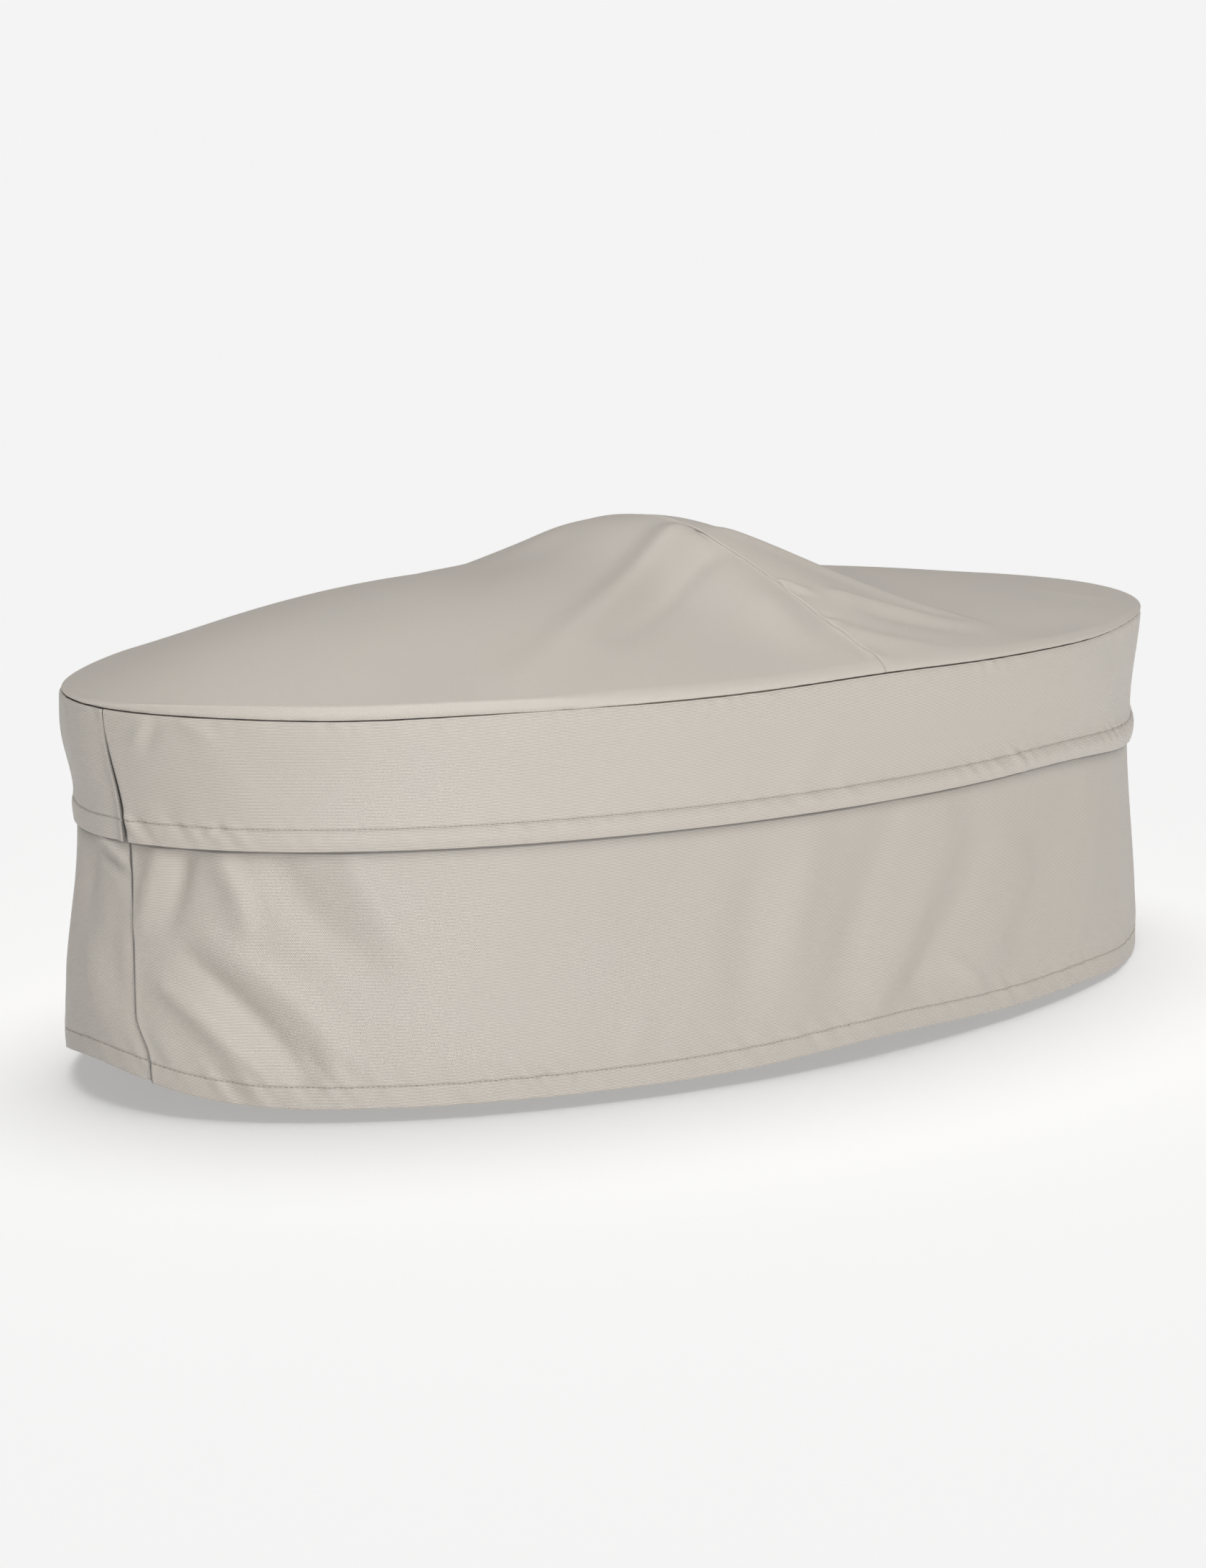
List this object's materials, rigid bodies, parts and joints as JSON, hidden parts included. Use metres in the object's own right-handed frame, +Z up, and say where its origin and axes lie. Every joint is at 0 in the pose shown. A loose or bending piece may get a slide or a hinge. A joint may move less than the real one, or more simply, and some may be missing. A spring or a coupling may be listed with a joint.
{
  "type": "fitted cover for a long low oval outdoor table or seat",
  "caption": "Fitted cloth cover for a long, low oval table or seat, open below: domed top with a raised crown, hemmed upper band hanging over a hemmed skirt.",
  "frame": {"origin": "underside of the crown, in the middle of the top, where the cover bears on what it is drawn over", "axes": "+X along the oval's long axis, -Y towards the front, +Z up"},
  "size_m": [1.6332, 0.8676, 0.6089],
  "materials": {
    "cover_cloth": "warm light grey coated outdoor weave with fine crosswise ribs, soft low sheen"
  },
  "bodies": {
    "root": {"top_left": "cover_cloth", "top_right": "cover_cloth", "band_front": "cover_cloth", "band_back": "cover_cloth", "skirt_front": "cover_cloth", "skirt_back": "cover_cloth"}
  },
  "joints": []
}
